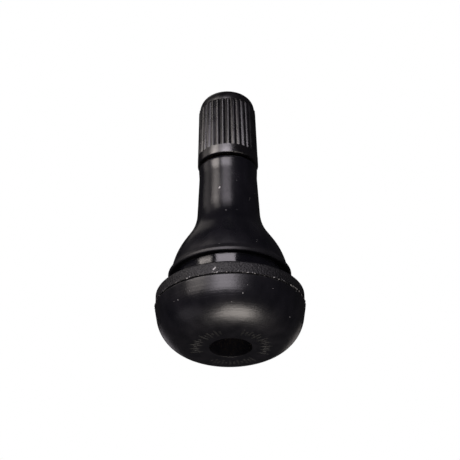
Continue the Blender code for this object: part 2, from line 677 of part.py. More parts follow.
def main():
    clear_scene()
    valve = new_collection("tyre_valve")
    cutters = new_collection("cutters")

    make_rubber_body(valve)
    make_brass_stem(valve)
    make_core_plug(valve, cutters)
    make_core_barrel(valve)
    make_barrel_seal(valve)
    make_core_spring(valve)

    press_axis = joint_axis("pin_press_axis", PIN_TOP, valve)
    for piece in (make_core_pin(valve), make_plunger_cup(valve), make_cup_seal(valve)):
        carry(piece, press_axis)

    cap_axis = joint_axis("cap_turn_axis", CAP_RIM, valve)
    for piece in (make_valve_cap(valve, cutters), make_cap_washer(valve)):
        carry(piece, cap_axis)


main()
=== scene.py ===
"""The look of the snap-in tyre valve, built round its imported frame.

Lengths are in metres, in the frame of the solids: +Z runs from the rubber base up to the dust cap.
Light and camera directions are given as an azimuth from the camera's side, positive to its
right, and an elevation above the horizontal.
"""

import math

import bmesh
import bpy
import numpy as np
from mathutils import Matrix, Vector, noise


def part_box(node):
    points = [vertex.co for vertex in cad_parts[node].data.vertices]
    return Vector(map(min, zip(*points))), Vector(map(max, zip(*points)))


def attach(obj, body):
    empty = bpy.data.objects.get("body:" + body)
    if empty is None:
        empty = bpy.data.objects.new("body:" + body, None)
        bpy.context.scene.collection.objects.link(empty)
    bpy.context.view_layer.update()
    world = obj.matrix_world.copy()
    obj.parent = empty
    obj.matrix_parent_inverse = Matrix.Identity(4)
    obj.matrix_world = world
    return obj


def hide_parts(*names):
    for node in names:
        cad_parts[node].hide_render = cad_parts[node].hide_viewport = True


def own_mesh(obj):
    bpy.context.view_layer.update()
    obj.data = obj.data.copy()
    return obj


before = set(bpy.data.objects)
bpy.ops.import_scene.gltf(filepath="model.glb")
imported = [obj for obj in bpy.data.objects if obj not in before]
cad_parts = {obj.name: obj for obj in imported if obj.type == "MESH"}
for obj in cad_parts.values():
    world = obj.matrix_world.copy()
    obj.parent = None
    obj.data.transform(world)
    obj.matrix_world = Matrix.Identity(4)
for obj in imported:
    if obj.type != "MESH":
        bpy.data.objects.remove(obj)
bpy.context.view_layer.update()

MM = 0.001

# Heights read from the solids
RUBBER_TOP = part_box("rubber_body")[1][2]
SEAM_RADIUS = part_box("rubber_body")[1][0]
STEM_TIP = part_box("brass_stem")[1][2]
STEM_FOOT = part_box("brass_stem")[0][2]
CAP_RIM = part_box("valve_cap")[0][2]
CAP_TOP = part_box("valve_cap")[1][2]
PLUG_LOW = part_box("core_plug")[0][2]
PIN_LOW, PIN_HIGH = (corner[2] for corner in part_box("core_pin"))
SPRING_LOW, SPRING_HIGH = (corner[2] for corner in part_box("core_spring"))
WASHER_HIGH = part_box("cap_washer")[1][2]

# Rubber body, from the base upwards
BASE_HEIGHT = 0.05 * MM  # the valve stands on its marks, and the base is this far above them
BASE_HOLE_RADIUS = 3.37 * MM
BASE_HOLE_TAPER = 0.2 * MM
BASE_HOLE_EDGE = 0.04 * MM
BASE_HOLE_DEPTH = 6.45 * MM
BULB_DRAFT = math.radians(8.3)
BULB_FILLET = 5.88 * MM
BULB_INSET = 0.07 * MM
BULB_EDGE = 0.5 * MM  # the bulb's upper edge is rounded off over this width
SEAM_HEIGHT = 7.16 * MM
FLASH_HEIGHT = 0.1 * MM
FLASH_WIDTH = 0.2 * MM
FLASH_ROOT = 0.1 * MM  # how deep the flash starts in the rubber
FLASH_WANDER = 0.03 * MM  # how far it strays up and down
FLASH_STEPS = 1440
FLANGE_RADIUS = SEAM_RADIUS - FLASH_WIDTH
FLANGE_TOP = 9.2 * MM
FLANGE_EDGE = 0.3 * MM
GROOVE_RADIUS = 8.5 * MM
GROOVE_LEAN = (8.82 * MM, 10.5 * MM, 1.5 * MM)  # above this corner the wall is nearly upright
GROOVE_TOP_RADIUS = 8.94 * MM
GROOVE_TOP = 12.16 * MM
GROOVE_FILLET = 0.08 * MM
SKIRT_RADIUS = 9.84 * MM
SKIRT_BEAD = 0.62 * MM
SKIRT_BEAD_FILLET = 0.24 * MM
HOLLOW = (9.32 * MM, 13.46 * MM, 1.6 * MM)
SHOULDER = (8.66 * MM, 16.2 * MM, 13.0 * MM)
NECK_ROOT = (5.21 * MM, 21.5 * MM, 8.8 * MM)
NECK_RADIUS = 4.72 * MM
COLLAR_RADIUS = 4.82 * MM
COLLAR_HEIGHT = 2.1 * MM
COLLAR_FILLET = 0.7 * MM

# Marks in groups of (azimuth from the camera's side in degrees, count), as the lettering sits
MARK_GROUPS = [(-82, 8), (-33, 6), (36, 6), (88, 9), (178, 12)]
MARK_SPACING = 6.5
MARK_LENGTHS = (2.1 * MM, 1.1 * MM, 1.8 * MM, 0.7 * MM)
MARK_MIDDLE = 5.55 * MM
MARK_WIDTH = 0.42 * MM
MARK_HEIGHT = 0.05 * MM
MARK_STEPS = 8

# Pale specks on the rubber: azimuth from the camera's side in degrees, distance from the axis,
# height and radius. The first five are a scratch on the shoulder, and the last three a streak on
# the flange.
FLECKS = [
    (29.1, 8.95 * MM, 14.88 * MM, 0.05 * MM),
    (28.6, 9.09 * MM, 14.5 * MM, 0.05 * MM),
    (28.1, 9.23 * MM, 14.13 * MM, 0.05 * MM),
    (27.6, 9.37 * MM, 13.76 * MM, 0.05 * MM),
    (27.1, 9.51 * MM, 13.4 * MM, 0.05 * MM),
    (-16.2, 4.95 * MM, 26.44 * MM, 0.13 * MM),
    (-17.5, 4.95 * MM, 26.28 * MM, 0.1 * MM),
    (-4.5, 5.46 * MM, 21.75 * MM, 0.06 * MM),
    (43.5, 5.03 * MM, 24.94 * MM, 0.05 * MM),
    (41.5, 5.05 * MM, 24.5 * MM, 0.04 * MM),
    (10.0, 11.34 * MM, 3.85 * MM, 0.07 * MM),
    (-44.1, 11.49 * MM, 4.33 * MM, 0.06 * MM),
    (59.7, 10.66 * MM, 2.55 * MM, 0.07 * MM),
    (-12.0, 11.8 * MM, 7.8 * MM, 0.13 * MM),
    (-11.3, 11.8 * MM, 7.96 * MM, 0.12 * MM),
    (-10.6, 11.8 * MM, 8.12 * MM, 0.1 * MM),
]

# Stem
TUBE_RADIUS = 3.05 * MM
STOP_RADIUS = 3.6 * MM
STOP_HEIGHT = 1.4 * MM
RING_RADIUS = 3.7 * MM
RING_LOW = STEM_FOOT + 3.9 * MM
RING_HIGH = RING_LOW + 0.7 * MM
FOOT_RADIUS = 4.2 * MM
FOOT_HEIGHT = 1.5 * MM
FOOT_SLOPE = 0.57 * MM
FOOT_CHAMFER = 0.35 * MM
BOND_GAP = 0.06 * MM
BORE_RADIUS = 1.85 * MM
SEAT_RADIUS = 2.25 * MM
SEAT_LOW = 33.2 * MM
SEAT_HIGH = 34.4 * MM
CHAMBER_TOP = 34.8 * MM
TIP_CHAMFER = 0.4 * MM
MOUTH_CHAMFER = 0.3 * MM
THREAD_LOW = RUBBER_TOP + 0.55 * MM

# Threads. Each is a ridge that winds round a plain wall.
STEM_THREAD_RADIUS = 3.85 * MM
STEM_PITCH = 25.4 / 32 * MM
CORE_THREAD_RADIUS = 2.65 * MM
CORE_PITCH = 25.4 / 36 * MM
THREAD_DEPTH_SHARE = 0.6  # of the pitch
THREAD_CREST_SHARE = 0.14
THREAD_ROOT_SHARE = 0.84
THREAD_STEPS = 72  # to a turn
THREAD_RUN_OUT = 1 / 3  # of a turn, over which a ridge rises and falls at its ends
THREAD_SINK = 0.05 * MM  # how deep a ridge starts in its wall
THREAD_LEAST_RISE = 0.02  # of the ridge's height, at its very ends
THREAD_SHOULDER = (THREAD_LOW - 0.2 * MM, THREAD_LOW + 0.1 * MM)  # the stem narrows between these
STEM_THREAD = (THREAD_LOW + 0.3 * MM, STEM_TIP - 0.35 * MM)
CAP_THREAD = (CAP_RIM + 0.7 * MM, STEM_TIP - 0.3 * MM)
BORE_THREAD = (CHAMBER_TOP + 0.8 * MM, STEM_TIP - 0.4 * MM)

# Dust cap
CAP_RADIUS = 4.98 * MM
CAP_DRAFT = math.radians(1.54)
CAP_BORE_RADIUS = 3.97 * MM
CAP_LEAD_IN = 0.35 * MM
CAP_RIM_ROUND = 0.12 * MM
CAP_BAND_TAPER = 0.03 * MM  # how much smaller the plain band's radius is at its top
CAP_DOME_TOP = CAP_TOP - 0.13 * MM
CAP_DOME_HEIGHT = 3.17 * MM
CAP_DOME_POWER = 2.6
CAP_DOME_RADIUS = 4.54 * MM
CAP_DOME_BASE = CAP_DOME_TOP - CAP_DOME_HEIGHT
CAP_CEILING = WASHER_HIGH + BOND_GAP
CAP_RECESS_RADIUS = 2.7 * MM
CAP_RECESS_FILLET = 0.8 * MM
CAP_ROOF = 1.3 * MM
RIB_COUNT = 32
RIB_DEPTH = 0.26 * MM
RIB_CREST = 0.72  # the rounded share of a rib's half width
RIB_ROOT = 0.08  # the rounded share of a groove's half width
RIB_LOW = CAP_RIM + 1.6 * MM
RIB_HIGH = CAP_DOME_BASE + 0.34 * MM
RIB_END = 0.16 * MM  # the height over which a rib rounds off at its top
RIB_END_STEPS = 4
RIB_CLEARANCE = 0.02 * MM  # the least height between the ribs' ends and the next ring of points
DOME_STEPS = 48

# Core
PIN_RADIUS = 0.4 * MM
PIN_HEAD_RADIUS = 0.8 * MM
PIN_HEAD_HEIGHT = 0.4 * MM
PIN_COLLAR_RADIUS = 0.85 * MM
PIN_COLLAR_TOP = PLUG_LOW - 0.6 * MM
PIN_COLLAR_HEIGHT = 0.35 * MM
PIN_FOOT_HEIGHT = 0.35 * MM
PIN_EDGE = 0.08 * MM
PLUG_RADIUS = 2.58 * MM
PLUG_TOP = PLUG_LOW + 3.05 * MM  # the bridge stands on this face
PLUG_MARGIN = 0.42 * MM  # the plug's chamfer and a plain strip
PLUG_THREAD = (PLUG_LOW + PLUG_MARGIN, PLUG_TOP - PLUG_MARGIN)
BRIDGE_RADIUS = 2.14 * MM
WIRE_RADIUS = 0.12 * MM
SPRING_RADIUS = 0.95 * MM
SPRING_TURNS = 5.5
SPRING_STEPS = 48  # to a turn
WIRE_SIDES = 12

# Facets
BODY_SEGMENTS = 288
CAP_SEGMENTS = 16 * RIB_COUNT
CORE_SEGMENTS = 96
ARC_ERROR = 0.0015 * MM
BODY_STEP = 0.5 * MM  # the longest one along the rubber's outline
DOME_STEP = 0.16 * MM
SHARP_ANGLE = math.radians(35)


def arc_steps(radius, angle):
    """The number of straight steps that an arc needs."""
    return max(2, math.ceil(abs(angle) / (2 * math.acos(1 - ARC_ERROR / radius))))


def fillet(before, corner, after, radius):
    """Points of the arc that rounds a corner between two straight sides."""
    to_before = (before - corner).normalized()
    to_after = (after - corner).normalized()
    half = to_before.angle(to_after) / 2
    centre = corner + (to_before + to_after).normalized() * radius / math.sin(half)
    reach = radius / math.tan(half)
    start = corner + to_before * reach - centre
    turn = start.angle_signed(corner + to_after * reach - centre)
    steps = arc_steps(radius, turn)
    return [centre + Matrix.Rotation(-turn * i / steps, 2) @ start for i in range(steps + 1)]


def rounded(corners):
    """The outline through corners given as (radius, height) or (radius, height, fillet)."""
    points = []
    last = len(corners) - 1
    for i, corner in enumerate(corners):
        here = Vector(corner[:2])
        if len(corner) == 2 or i in (0, last):
            points.append(here)
        else:
            before, after = Vector(corners[i - 1][:2]), Vector(corners[i + 1][:2])
            points += fillet(before, here, after, corner[2])
    return points


def spread(outline, longest):
    """The outline with points added on its long sides, so that relief can follow them."""
    points = []
    for start, end in zip(outline, outline[1:]):
        steps = max(1, math.ceil((end - start).length / longest))
        points += [start.lerp(end, i / steps) for i in range(steps)]
    return points + [outline[-1]]


def even_angles(count):
    return np.arange(count) * (2 * math.pi / count)


def turned_mesh(name, outline, angles, relief=None, closed=True):
    """A surface turned about Z at the given angles. The outline runs down the outside.

    relief(angle, radius, height) gives how far each point moves outwards.
    """
    radius, height = np.array(outline).T
    angle = np.asarray(angles)[:, None]
    radius, height, angle = np.broadcast_arrays(radius, height, angle)
    if relief:
        radius = radius + relief(angle, radius, height)
    places = np.stack([radius * np.cos(angle), radius * np.sin(angle), height], axis=-1)
    across, down = radius.shape
    i, j = np.meshgrid(np.arange(across), np.arange(down if closed else down - 1), indexing="ij")
    right, below = (i + 1) % across, (j + 1) % down
    corners = [i * down + j, i * down + below, right * down + below, right * down + j]
    faces = np.stack(corners, axis=-1).reshape(-1, 4)
    mesh = bpy.data.meshes.new(name)
    mesh.from_pydata(places.reshape(-1, 3).tolist(), [], faces.tolist())
    return mesh


def swept_mesh(name, sections, looped=False):
    """A closed solid through sections with the same number of corners, joined up if looped."""
    count = len(sections[0])
    starts = [i * count for i in range(len(sections))]
    faces = []
    for here, after in zip(starts, starts[1:] + starts[:looped]):
        for j in range(count):
            k = (j + 1) % count
            faces.append((here + j, here + k, after + k, after + j))
    if not looped:
        faces.append(tuple(reversed(range(count))))
        faces.append(tuple(range(starts[-1], starts[-1] + count)))
    mesh = bpy.data.meshes.new(name)
    mesh.from_pydata([point for section in sections for point in section], [], faces)
    return mesh


def ring_section(corners, angle):
    """The points at an angle about Z for corners given as (radius, height)."""
    return [(r * math.cos(angle), r * math.sin(angle), z) for r, z in corners]


def thread_mesh(name, root, crest, pitch, ends, phase=0.0):
    """A right-hand ridge from the root radius to the crest radius, tapering out at its ends."""
    low, high = ends
    sink = math.copysign(THREAD_SINK, root - crest)
    half_root = THREAD_ROOT_SHARE * pitch / 2
    half_crest = THREAD_CREST_SHARE * pitch / 2
    turns = (high - low) / pitch
    steps = round(turns * THREAD_STEPS)
    sections = []
    for i in range(steps + 1):
        turn = i / THREAD_STEPS
        rise = min(1.0, turn / THREAD_RUN_OUT, (turns - turn) / THREAD_RUN_OUT)
        reach = root + (crest - root) * max(rise, THREAD_LEAST_RISE)
        middle = low + turn * pitch
        angle = 2 * math.pi * turn + phase
        corners = [
            (root + sink, middle - half_root),
            (reach, middle - half_crest),
            (reach, middle + half_crest),
            (root + sink, middle + half_root),
        ]
        sections.append(ring_section(corners, angle))
    return swept_mesh(name, sections)


def meshing_phase(ends, other_ends, pitch):
    """The turn that sets a ridge half a pitch above the ridge of the thread it screws into."""
    return 2 * math.pi * ((ends[0] - other_ends[0]) / pitch - 0.5)


def piece(name, meshes, material, slot, body, *replaced):
    """One visible object made of the meshes, riding on a body in place of the named solids."""
    builder = bmesh.new()
    for mesh in meshes:
        builder.from_mesh(mesh)
        bpy.data.meshes.remove(mesh)
    bmesh.ops.remove_doubles(builder, verts=builder.verts, dist=1e-7)
    bmesh.ops.recalc_face_normals(builder, faces=builder.faces)
    joined = bpy.data.meshes.new(name)
    builder.to_mesh(joined)
    builder.free()
    joined.shade_smooth()
    joined.set_sharp_from_angle(angle=SHARP_ANGLE)
    joined.materials.append(material)
    obj = bpy.data.objects.new(name, joined)
    bpy.context.scene.collection.objects.link(obj)
    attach(obj, body)
    if replaced:
        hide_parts(*replaced)
    return obj


class Nodes:
    """A material's node tree, with short calls for what the materials here share."""

    def __init__(self, name):
        self.material = bpy.data.materials.new(name)
        self.material.use_nodes = True
        self.tree = self.material.node_tree
        self.shader = self.tree.nodes["Principled BSDF"]
        self.place = self.add("ShaderNodeTexCoord").outputs["Object"]

    def add(self, kind, **settings):
        node = self.tree.nodes.new(kind)
        for key, value in settings.items():
            setattr(node, key, value)
        return node

    def join(self, output, node_input):
        self.tree.links.new(output, node_input)

    def noise(self, size, detail=3.0, stretch=(1, 1, 1)):
        """Noise whose grains are about size across."""
        scaled = self.add("ShaderNodeMapping")
        scaled.inputs["Scale"].default_value = stretch
        self.join(self.place, scaled.inputs["Vector"])
        texture = self.add("ShaderNodeTexNoise")
        texture.inputs["Scale"].default_value = 1 / size
        texture.inputs["Detail"].default_value = detail
        self.join(scaled.outputs["Vector"], texture.inputs["Vector"])
        return texture.outputs["Fac"]

    def turning_marks(self, width):
        """Noise in rings about the valve's axis, as a turned mould leaves them."""
        parts = self.add("ShaderNodeSeparateXYZ")
        self.join(self.place, parts.inputs["Vector"])
        flat = self.add("ShaderNodeVectorMath", operation="MULTIPLY")
        flat.inputs[1].default_value = (1, 1, 0)
        self.join(self.place, flat.inputs[0])
        out = self.add("ShaderNodeVectorMath", operation="LENGTH")
        self.join(flat.outputs["Vector"], out.inputs[0])
        profile = self.add("ShaderNodeCombineXYZ")
        self.join(out.outputs["Value"], profile.inputs["X"])
        self.join(parts.outputs["Z"], profile.inputs["Y"])
        texture = self.add("ShaderNodeTexNoise")
        texture.inputs["Scale"].default_value = 1 / width
        self.join(profile.outputs["Vector"], texture.inputs["Vector"])
        return texture.outputs["Fac"]

    def specks(self, spacing, size, rarity):
        """1 in small spots, about size times the spacing across, in a few of the cells."""
        cells = self.add("ShaderNodeTexVoronoi")
        cells.inputs["Scale"].default_value = 1 / spacing
        self.join(self.place, cells.inputs["Vector"])
        near = self.maths("LESS_THAN", cells.outputs["Distance"], size)
        chance = self.add("ShaderNodeSeparateXYZ")
        self.join(cells.outputs["Color"], chance.inputs["Vector"])
        return self.maths("MULTIPLY", near, self.maths("GREATER_THAN", chance.outputs["X"], rarity))

    def flecks(self, places):
        """1 in a small spot at each (azimuth, distance from the axis, height, radius)."""
        covered = 0.0
        for azimuth, out, height, radius in places:
            apart = self.add("ShaderNodeVectorMath", operation="DISTANCE")
            apart.inputs[1].default_value = direction(azimuth, 0) * out + Vector((0, 0, height))
            self.join(self.place, apart.inputs[0])
            spot = self.maths("LESS_THAN", apart.outputs["Value"], radius)
            covered = self.maths("MAXIMUM", spot, covered)
        return covered

    def mix(self, factor, first, second):
        node = self.add("ShaderNodeMix", data_type="RGBA")
        self.join(factor, node.inputs["Factor"])
        # The colour sockets go by number, because the node has others of the same names.
        for socket, value in zip((node.inputs[6], node.inputs[7]), (first, second)):
            if isinstance(value, tuple):
                socket.default_value = (*value, 1)
            else:
                self.join(value, socket)
        return node.outputs[2]

    def ramp(self, factor, stops):
        """A colour ramp through (position, colour or grey) stops."""
        node = self.add("ShaderNodeValToRGB")
        elements = node.color_ramp.elements
        while len(elements) < len(stops):
            elements.new(0.5)
        for element, (position, colour) in zip(elements, sorted(stops, key=lambda stop: stop[0])):
            element.position = position
            grey = isinstance(colour, (int, float))
            element.color = (colour,) * 3 + (1,) if grey else (*colour, 1)
        self.join(factor, node.inputs["Fac"])
        return node.outputs["Color"]

    def maths(self, operation, first, second):
        node = self.add("ShaderNodeMath", operation=operation)
        for socket, value in zip(node.inputs, (first, second)):
            if isinstance(value, (int, float)):
                socket.default_value = value
            else:
                self.join(value, socket)
        return node.outputs["Value"]

    def height(self, low, high):
        """How far up a point lies between two heights, from 0 to 1."""
        parts = self.add("ShaderNodeSeparateXYZ")
        self.join(self.place, parts.inputs["Vector"])
        share = self.add("ShaderNodeMapRange")
        share.inputs["From Min"].default_value = low
        share.inputs["From Max"].default_value = high
        self.join(parts.outputs["Z"], share.inputs["Value"])
        return share.outputs["Result"]

    def bump(self, heights, distance, strength=1.0, below=None):
        node = self.add("ShaderNodeBump")
        node.inputs["Strength"].default_value = strength
        node.inputs["Distance"].default_value = distance
        self.join(heights, node.inputs["Height"])
        if below:
            self.join(below, node.inputs["Normal"])
        return node.outputs["Normal"]

    def finish(self, **sockets):
        """Sets the shader's sockets to numbers, colours or outputs, and returns the material."""
        for name, value in sockets.items():
            label = name.replace("_", " ").title().replace("Ior", "IOR")
            socket = self.shader.inputs[label]
            if isinstance(value, bpy.types.NodeSocket):
                self.join(value, socket)
            elif isinstance(value, tuple):
                socket.default_value = (*value, 1)
            else:
                socket.default_value = value
        return self.material


def body_rubber():
    """Moulded rubber: glossy where the mould was polished, dull and grainy round the flange."""
    nodes = Nodes("Moulded rubber")
    up = nodes.height(0, RUBBER_TOP)
    seam, flange, groove = (z / RUBBER_TOP for z in (SEAM_HEIGHT, FLANGE_TOP, GROOVE_TOP))
    gloss = [
        (0.0, 0.34),
        (0.1, 0.27),
        (seam - 0.005, 0.29),
        (seam, 0.5),
        (flange - 0.008, 0.52),
        (flange, 0.12),
        (groove - 0.004, 0.12),
        (groove, 0.44),
        (groove + 0.03, 0.42),
        (groove + 0.06, 0.26),
        (0.62, 0.2),
        (1.0, 0.22),
    ]
    graininess = [
        (0.0, 0.05),
        (seam - 0.005, 0.045),
        (seam, 1.0),
        (flange - 0.01, 1.0),
        (flange, 0.02),
        (0.5, 0.06),
    ]
    smear = nodes.noise(2.2 * MM, 4, stretch=(1, 1, 0.5))
    dust = nodes.specks(spacing=0.9 * MM, size=0.045, rarity=0.82)
    crumbs = nodes.maths(
        "MULTIPLY",
        nodes.specks(spacing=0.36 * MM, size=0.34, rarity=0.45),
        nodes.ramp(up, [(seam - 0.001, 0), (seam, 1), (seam + 0.004, 1), (seam + 0.009, 0)]),
    )
    pale = nodes.maths("MAXIMUM", nodes.maths("MAXIMUM", dust, crumbs), nodes.flecks(FLECKS))
    torn = nodes.maths("MULTIPLY", nodes.maths("SUBTRACT", nodes.noise(0.5 * MM, 3), 0.5), 0.014)
    crevice = nodes.ramp(
        nodes.maths("ADD", up, torn),
        [(seam - 0.0105, 0), (seam - 0.0075, 1), (seam - 0.001, 1), (seam, 0)],
    )
    roughness = nodes.maths(
        "ADD", nodes.ramp(up, gloss), nodes.ramp(smear, [(0.35, -0.02), (0.7, 0.07)])
    )
    roughness = nodes.maths("MAXIMUM", roughness, crevice)
    grain = nodes.maths("MULTIPLY", nodes.noise(0.32 * MM, 4), nodes.ramp(up, graininess))
    waves = nodes.bump(nodes.noise(1.6 * MM, 2), 0.015 * MM)
    turned = nodes.ramp(up, [(0.0, 1.0), (seam / 2, 0.8), (seam, 0.25), (0.5, 0.12)])
    marks = nodes.maths("MULTIPLY", nodes.turning_marks(0.32 * MM), turned)
    rings = nodes.bump(marks, 0.02 * MM, below=waves)
    grained = nodes.bump(grain, 0.23 * MM, below=rings)
    normal = nodes.bump(pale, 0.03 * MM, below=grained)
    rubber = nodes.ramp(smear, [(0.3, (0.002, 0.002, 0.0033)), (0.75, (0.0048, 0.0044, 0.0066))])
    colour = nodes.mix(pale, rubber, (0.34, 0.33, 0.33))
    return nodes.finish(base_color=colour, roughness=roughness, normal=normal)


def worn_rubber_painted_sheen():
    """The rubber of the raised marks, which handling has dulled. Their lighter colour is painted
    sheen, standing in for the soft highlight that the marks catch.
    """
    nodes = Nodes("Worn rubber with painted sheen")
    wear_and_sheen = nodes.noise(0.6 * MM, 4)
    # The lighter tone of the marks is painted sheen for the highlight they catch; the rougher
    # finish is real dulling.
    colour = nodes.ramp(wear_and_sheen, [(0.35, (0.0035, 0.0035, 0.0045)), (0.7, (0.012, 0.0115, 0.0115))])
    roughness = nodes.ramp(wear_and_sheen, [(0.3, 0.4), (0.75, 0.56)])
    normal = nodes.bump(nodes.noise(0.2 * MM, 3), 0.012 * MM)
    return nodes.finish(base_color=colour, roughness=roughness, normal=normal)


def cap_plastic():
    """Black moulded plastic with a fine eroded grain."""
    nodes = Nodes("Moulded plastic")
    smear = nodes.noise(1.8 * MM, 3)
    roughness = nodes.ramp(smear, [(0.3, 0.25), (0.75, 0.34)])
    normal = nodes.bump(nodes.noise(0.2 * MM, 3), 0.01 * MM)
    colour = nodes.ramp(smear, [(0.3, (0.0014, 0.0012, 0.002)), (0.75, (0.003, 0.0026, 0.0038))])
    return nodes.finish(
        base_color=colour, roughness=roughness, normal=normal, specular_ior_level=0.9
    )


def turned_brass(name, tint=(0.87, 0.70, 0.42)):
    """Brass with the fine rings that a lathe leaves and a little tarnish."""
    nodes = Nodes(name)
    rings = nodes.turning_marks(0.06 * MM)
    tarnish = nodes.noise(1.2 * MM, 4)
    dull = tuple(share * level for share, level in zip(tint, (0.8, 0.75, 0.66)))
    colour = nodes.ramp(tarnish, [(0.35, tint), (0.8, dull)])
    roughness = nodes.ramp(tarnish, [(0.3, 0.2), (0.8, 0.36)])
    normal = nodes.bump(rings, 0.0008 * MM)
    return nodes.finish(base_color=colour, roughness=roughness, normal=normal, metallic=1.0)


def spring_steel():
    nodes = Nodes("Spring steel")
    drawn = nodes.noise(0.06 * MM, 2, stretch=(1, 1, 3))
    colour = nodes.ramp(drawn, [(0.3, (0.42, 0.42, 0.44)), (0.7, (0.62, 0.62, 0.63))])
    roughness = nodes.ramp(drawn, [(0.3, 0.22), (0.7, 0.34)])
    return nodes.finish(base_color=colour, roughness=roughness, metallic=1.0)


def white_seal():
    nodes = Nodes("White seal")
    cloud = nodes.noise(0.7 * MM, 3)
    colour = nodes.ramp(cloud, [(0.3, (0.72, 0.72, 0.69)), (0.7, (0.84, 0.84, 0.81))])
    roughness = nodes.ramp(cloud, [(0.3, 0.36), (0.7, 0.48)])
    return nodes.finish(base_color=colour, roughness=roughness)


def seal_rubber():
    nodes = Nodes("Seal rubber")
    dust = nodes.noise(0.5 * MM, 4)
    colour = nodes.ramp(dust, [(0.35, (0.012, 0.012, 0.013)), (0.8, (0.024, 0.023, 0.022))])
    normal = nodes.bump(nodes.noise(0.05 * MM, 2), 0.004 * MM)
    return nodes.finish(base_color=colour, roughness=0.55, normal=normal)


def rubber_outline():
    bulb_top = SEAM_RADIUS - BULB_INSET
    seam_top = SEAM_HEIGHT + FLASH_HEIGHT / 2
    seam_low = SEAM_HEIGHT - FLASH_HEIGHT / 2
    outside = rounded(
        [
            (STOP_RADIUS + BOND_GAP, RUBBER_TOP),
            (COLLAR_RADIUS, RUBBER_TOP, COLLAR_FILLET),
            (NECK_RADIUS, RUBBER_TOP - COLLAR_HEIGHT),
            NECK_ROOT,
            SHOULDER,
            HOLLOW,
            (SKIRT_RADIUS, GROOVE_TOP + SKIRT_BEAD, SKIRT_BEAD_FILLET),
            (SKIRT_RADIUS, GROOVE_TOP, SKIRT_BEAD_FILLET),
            (GROOVE_TOP_RADIUS, GROOVE_TOP, GROOVE_FILLET),
            GROOVE_LEAN,
            (GROOVE_RADIUS, FLANGE_TOP, GROOVE_FILLET),
            (FLANGE_RADIUS, FLANGE_TOP, FLANGE_EDGE),
            (FLANGE_RADIUS, seam_top),
            (FLANGE_RADIUS, seam_low),
            (bulb_top - BULB_EDGE, seam_low),
            (bulb_top, seam_low - BULB_EDGE / 3, BULB_EDGE / 2),
            (bulb_top - math.tan(BULB_DRAFT) * SEAM_HEIGHT, BASE_HEIGHT, BULB_FILLET),
            (BASE_HOLE_RADIUS, BASE_HEIGHT, BASE_HOLE_EDGE),
            (BASE_HOLE_RADIUS - BASE_HOLE_TAPER, BASE_HOLE_DEPTH),
        ]
    )
    inside = [
        (FOOT_RADIUS - FOOT_CHAMFER, STEM_FOOT - BOND_GAP),
        (FOOT_RADIUS + BOND_GAP, STEM_FOOT + FOOT_CHAMFER),
        (FOOT_RADIUS + BOND_GAP, STEM_FOOT + FOOT_HEIGHT),
        (TUBE_RADIUS + BOND_GAP, STEM_FOOT + FOOT_HEIGHT + FOOT_SLOPE),
        (TUBE_RADIUS + BOND_GAP, RUBBER_TOP - STOP_HEIGHT - (STOP_RADIUS - TUBE_RADIUS)),
        (STOP_RADIUS + BOND_GAP, RUBBER_TOP - STOP_HEIGHT),
    ]
    return spread(outside, BODY_STEP) + [Vector(point) for point in inside]


def make_rubber(material):
    mesh = turned_mesh("rubber_shell", rubber_outline(), even_angles(BODY_SEGMENTS))
    return piece("rubber_shell", [mesh], material, "body_rubber", "valve", "rubber_body")


def make_parting_flash(material):
    """The thin ragged fin of rubber along the mould's parting line."""
    sections = []
    for angle in even_angles(FLASH_STEPS):
        around = Vector((math.cos(angle), math.sin(angle), 0)) * 12
        # Coarse tears with fine ones on them, which leave at least a quarter of the fin's width
        torn = noise.fractal(around * 1.6, 0.8, 2.1, 5) + 0.35 * noise.noise(around * 9)
        reach = FLANGE_RADIUS + FLASH_WIDTH * min(1.0, max(0.25, 0.72 + 0.55 * torn))
        middle = SEAM_HEIGHT + FLASH_WANDER * noise.noise(around * 4)
        corners = [
            (FLANGE_RADIUS - FLASH_ROOT, middle + FLASH_HEIGHT / 2),
            (reach, middle + 0.2 * FLASH_HEIGHT),
            (reach, middle - 0.2 * FLASH_HEIGHT),
            (FLANGE_RADIUS - FLASH_ROOT, middle - FLASH_HEIGHT / 2),
        ]
        sections.append(ring_section(corners, angle))
    mesh = swept_mesh("parting_flash", sections, looped=True)
    return piece("parting_flash", [mesh], material, "body_rubber", "valve")


def base_profile(radius):
    """The height of the rubber's underside at a radius between the hole and the bulb's side."""
    edge = SEAM_RADIUS - BULB_INSET - math.tan(BULB_DRAFT) * SEAM_HEIGHT
    flat = edge - BULB_FILLET * math.tan((math.pi / 2 - BULB_DRAFT) / 2)
    out = max(0.0, radius - flat)
    return BASE_HEIGHT + BULB_FILLET - math.sqrt(BULB_FILLET**2 - out**2)


def make_base_marks(material):
    """Plain raised strokes round the base hole, in groups."""
    meshes = []
    for middle, count in MARK_GROUPS:
        for i in range(count):
            azimuth = middle + MARK_SPACING * (i - (count - 1) / 2)
            length = MARK_LENGTHS[i % len(MARK_LENGTHS)]
            out = direction(azimuth, 0)
            side = direction(azimuth + 90, 0)
            sections = []
            for along in np.linspace(0, 1, MARK_STEPS + 1):
                radius = MARK_MIDDLE + length * (along - 0.5)
                foot = base_profile(radius) + MARK_HEIGHT / 4  # a little way into the rubber
                fade = min(1.0, 4 * along, 4 * (1 - along))
                face = base_profile(radius) - MARK_HEIGHT * fade
                centre = out * radius
                corners = [
                    (-MARK_WIDTH / 2, foot),
                    (-MARK_WIDTH / 4, face),
                    (MARK_WIDTH / 4, face),
                    (MARK_WIDTH / 2, foot),
                ]
                sections.append([centre + side * x + Vector((0, 0, z)) for x, z in corners])
            meshes.append(swept_mesh("base_mark", sections))
    return piece("base_marks", meshes, material, "body_rubber", "valve")


def cap_radius_at(height):
    """The radius over the cap's ribs, which shrinks upwards with the draft."""
    return CAP_RADIUS - math.tan(CAP_DRAFT) * (height - CAP_RIM)


